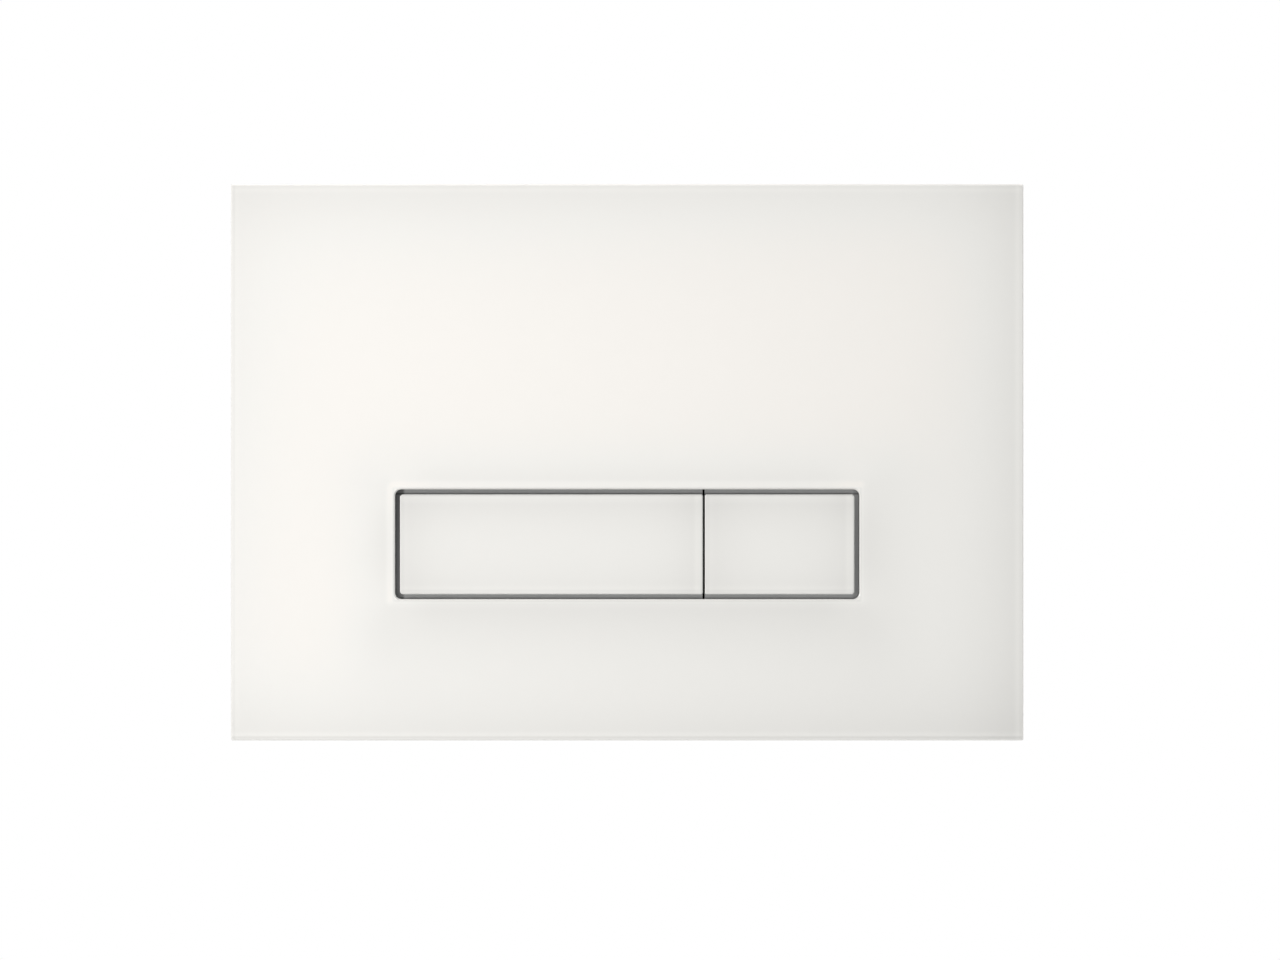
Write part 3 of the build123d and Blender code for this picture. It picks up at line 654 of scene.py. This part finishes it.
def white_glass(name, node, whites, diagonal_and_corner_light, reach, sides, painted_reflections, window=None):
    """White-backed glass in the outline of a node. The whites are that of the middle, of the painted shade and of
    the arris, which is painted lighter than the face as a highlight. Light and shade are painted across the piece:
    darker on one diagonal than on the other, and paler in the corners. The sides, left, right, top and bottom, give
    the strength of the painted shade and of the painted near and far lines. The gaps give how much painted reflection
    of the dark gap an arris takes where it faces right and where it faces up. On a plate with a window only the arris
    of the window takes it, and the outer edges are satin."""
    face_depth, arris_depth, paint_depth = 0.004, 0.12, 0.97
    full_shade, cool_shade = 2.5, 0.6
    tilt_from, tilt_to, window_near, window_far = 0.2, 0.5, 0.0006, 0.0010
    lit_share, lit_from, lit_to = 0.8, 0.08, 0.11
    satin, outer_from, outer_to = 0.36, 0.004, 0.006
    white, cool, arris_white = whites
    low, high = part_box(node)
    middle, half = (low + high) / 2, (high - low) / 2
    finish, shader, place = new_finish(name, {"IOR": 1.52})
    spot = place.split()
    x, y, z = spot["X"], spot["Y"], spot["Z"]
    facing = place.facing()
    tilt = facing.split()
    sideways = abs(tilt["X"])

    # Painted light and shade: darker on one diagonal, paler in the corners, then painted shade near each edge.
    diagonal, corners = diagonal_and_corner_light
    diagonal_light = (x - middle.x) / half.x * ((middle.z - z) / half.z)
    dim = diagonal * diagonal_light - corners * (diagonal_light ** 2) ** 2
    for (strength, near_line, far_line), distance in zip(sides, (x - low.x, high.x - x, high.z - z, z - low.z)):
        dim = dim + dimmed(distance.at_least(0.0), reach, strength, near_line, far_line)
    # Painted reflection: an arris that faces right or up is darkened as if it mirrored the dark gap beside it.
    right_gap, upper_gap = painted_reflections
    gap_reflection = right_gap * tilt["X"].ramp(tilt_from, tilt_to) + upper_gap * tilt["Z"].ramp(tilt_from, tilt_to)
    if window:
        window_dim, corner_pale, apart = beside_window(x, z, window)
        dim = dim + window_dim - corner_pale
        gap_reflection = gap_reflection * (1 - apart.ramp(window_near, window_far))
    face = (dim / full_shade).between(dim.ramp(0.0, cool_shade).between(white, cool), deep_shade_white)

    # Painted light and shade on the arris: lighter than the face as a highlight, darker where it faces sideways,
    # except at the far right, where it stays lighter.
    lit_side = 1 - lit_share * x.ramp(lit_from, lit_to)
    arris = gap_reflection.between((sideways * lit_side).between(arris_white, arris_shade), edge_dark)
    depth = (y - low.y) / (high.y - low.y)
    streak = place.stretched((0.2, 3.0, 0.2)).noise(900.0)
    # Painted shade: an edge of the glass is darker where it faces sideways; it is also darker towards the front.
    wall = (0.55 * depth + 0.45 * streak - 0.3 * sideways).ramp(0.2, 0.9).between(edge_dark, edge_green)
    wall = (depth > paint_depth).between(wall, white)
    front = (depth > face_depth).between(face, arris)
    (depth > arris_depth).between(front, wall).into(shader, "Base Color")
    rough = 0.03 + 0.05 * place.noise(14.0, detail=4.0)
    if window:
        rough = rough + satin * (depth > arris_depth) * apart.ramp(outer_from, outer_to)
    rough.into(shader, "Roughness")
    # Polishing rounds the upright arrises a little, so they face more to the front.
    rounded = facing.stretched((0.45, 1.0, 1.0))
    place.node("ShaderNodeVectorMath", {"operation": "NORMALIZE"}, {0: rounded}).into(shader, "Normal")
    return finish


button_white = (0.845, 0.840, 0.815, 1)
button_whites = (button_white, button_white, cool_white)
# The sides of the buttons give the strength of the painted shade and of the painted lines along each edge.
button_left, button_right = (0.85, 0.1, 0.2), (0.85, -0.2, 0.55)
button_top, button_bottom = (1.25, -0.5, 0.4), (0.80, 0.4, 0.35)
button_sides = (button_left, button_right, button_top, button_bottom)
for button, painted_reflections in (("full", (0.45, 0.4)), ("half", (0.2, 0.4))):
    node = f"{button}_button_glass"
    finish = white_glass(f"{button}_white_glass", node, button_whites, diagonal_and_corner_light=(0.0, 0.0), reach=0.0085,
                         sides=button_sides, painted_reflections=painted_reflections)
    dress(node, finish)

# Cover plate: one sheet of the same glass, 4 mm thick, with the window for the buttons cut out of it.
# The edges of the window are polished, and the outer ones only ground to a satin. It is taped on the tray.
plate_whites = ((0.905, 0.884, 0.850, 1), cool_white, (0.965, 0.950, 0.920, 1))
# The sides of the plate and of its window give the strength, reach and lines of the painted shade along each edge.
plate_left, plate_right = (0.60, 0.35, 0.12), (1.2, 0.05, 0.4)
plate_top, plate_bottom = (1.0, 0.15, 0.25), (1.25, 0.75, 0.4)
window_left, window_right = (1.35, 0.0112, 0.6), (1.25, 0.0150, 0.15)
window_top, window_bottom = (1.05, 0.0112, 0.5), (1.5, 0.0190, 0.2)
window = (full_low.x - rim_show, half_right + rim_show,
          full_low.z - rim_show, full_high.z + rim_show,
          (window_left, window_right, window_top, window_bottom))
finish = white_glass("plate_white_glass", "glass_plate", plate_whites, diagonal_and_corner_light=(0.22, 0.4), reach=0.0163,
                     sides=(plate_left, plate_right, plate_top, plate_bottom), painted_reflections=(0.25, 0.18), window=window)
dress("glass_plate", finish)

# Studio: the photograph's camera, a large soft lamp at the upper left, a weak one behind for the other views,
# an even grey sky and a pale floor. The sky and the floor are white to the camera.
view_width, view_middle_x, view_middle_z = 0.3794, 0.0038, -0.00522
eye_distance, eye_height = 0.8, 0.028
camera_data = bpy.data.cameras.new("camera")
camera_data.sensor_fit = "HORIZONTAL"
camera_data.sensor_width = 36.0
camera_data.lens = camera_data.sensor_width * eye_distance / view_width
camera_data.shift_y = (view_middle_z - eye_height) / view_width
camera = bpy.data.objects.new("camera", camera_data)
camera.location = (view_middle_x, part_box("glass_plate")[0].y - eye_distance, eye_height)
camera.rotation_euler = (math.radians(90), 0, 0)
bpy.context.scene.collection.objects.link(camera)
bpy.context.scene.camera = camera


def soft_lamp(name, place, aim, size, spread, power, colour):
    """A square soft box that looks at a point on the plate, with a grid that narrows its beam."""
    lamp_data = bpy.data.lights.new(name, "AREA")
    lamp_data.shape, lamp_data.size, lamp_data.energy = "SQUARE", size, power
    lamp_data.spread, lamp_data.color = math.radians(spread), colour
    lamp = bpy.data.objects.new(name, lamp_data)
    bpy.context.scene.collection.objects.link(lamp)
    lamp.location = place
    lamp.rotation_euler = (Vector(aim) - lamp.location).to_track_quat("-Z", "Y").to_euler()


soft_lamp("key_lamp", place=(-0.426, -0.852, 0.528), aim=(-0.135, 0, -0.085), size=0.6, spread=81, power=2.035,
          colour=(1.0, 0.968, 0.958))
soft_lamp("back_lamp", place=(0.55, 0.85, 0.6), aim=(0, 0, 0), size=0.6, spread=180, power=6.0, colour=(1, 1, 1))


def seen_white(tree):
    """1 for rays that come from the camera, straight or through a mirror or glass."""
    rays = Reading(tree).node("ShaderNodeLightPath", {}, {}, "Is Camera Ray")
    return rays.at_least(rays["Is Glossy Ray"]).at_least(rays["Is Transmission Ray"])


fill_grey, plain_white = (0.416, 0.428, 0.424, 1), (1, 1, 1, 1)
sky = bpy.data.worlds.new("sky")
sky.use_nodes = True
seen_white(sky.node_tree).between(fill_grey, plain_white).into(sky.node_tree.nodes["Background"], "Color")
bpy.context.scene.world = sky

floor_height, floor_front_edge, floor_back_edge, floor_side = -0.28, -0.55, 0.56, 0.62
shadow_kept, fade_start, fade_end = 0.2, 0.1, 0.5
floor_corners = [(-floor_side, floor_front_edge, floor_height), (floor_side, floor_front_edge, floor_height)]
floor_corners += [(floor_side, floor_back_edge, floor_height), (-floor_side, floor_back_edge, floor_height)]
floor = solid("floor", floor_corners, [(0, 1, 2, 3)])
floor_finish, shader, place = new_finish("floor_white", {"Roughness": 0.9})
place.noise(9.0).between((0.90, 0.90, 0.90, 1), (0.87, 0.87, 0.87, 1)).into(shader, "Base Color")
spot = place.split()
shadow_share = shadow_kept * (1 - (spot["X"] ** 2 + spot["Y"] ** 2).ramp(fade_start ** 2, fade_end ** 2))
whitened = (1 - shadow_share) * seen_white(floor_finish.node_tree)
lit = Reading(floor_finish.node_tree, shader.outputs[0])
bright = place.node("ShaderNodeEmission", {}, {"Color": plain_white, "Strength": 1.0})
mixed = place.node("ShaderNodeMixShader", {}, {0: whitened, 1: lit, 2: bright})
mixed.into(floor_finish.node_tree.nodes["Material Output"], "Surface")
floor.data.materials.append(floor_finish)

bpy.context.scene.view_settings.view_transform = "Standard"
